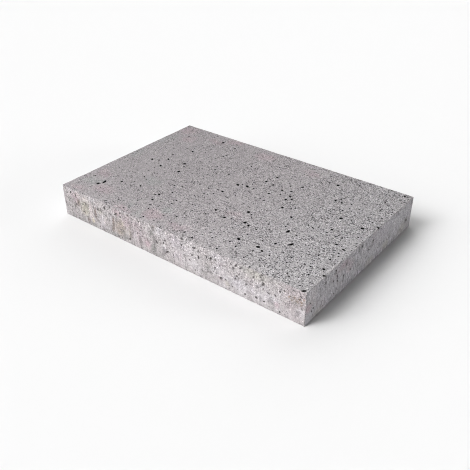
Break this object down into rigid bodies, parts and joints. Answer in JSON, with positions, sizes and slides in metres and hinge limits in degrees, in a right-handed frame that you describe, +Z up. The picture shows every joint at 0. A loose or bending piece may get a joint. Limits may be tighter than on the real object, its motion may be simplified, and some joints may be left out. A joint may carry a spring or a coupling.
{
  "type": "concrete paving slab",
  "caption": "Flat rectangular concrete paving slab with eased edges and a pitted grey wearing face, laid on a sand or mortar bed to pave paths and terraces.",
  "frame": {"origin": "middle of the bedding face, the slab's underside", "axes": "+X along the length, +Y across the width, +Z up out of the wearing face"},
  "size_m": [0.6, 0.4, 0.07],
  "materials": {
    "concrete": "matte"
  },
  "bodies": {
    "root": {"paving_slab": "concrete"}
  },
  "joints": []
}
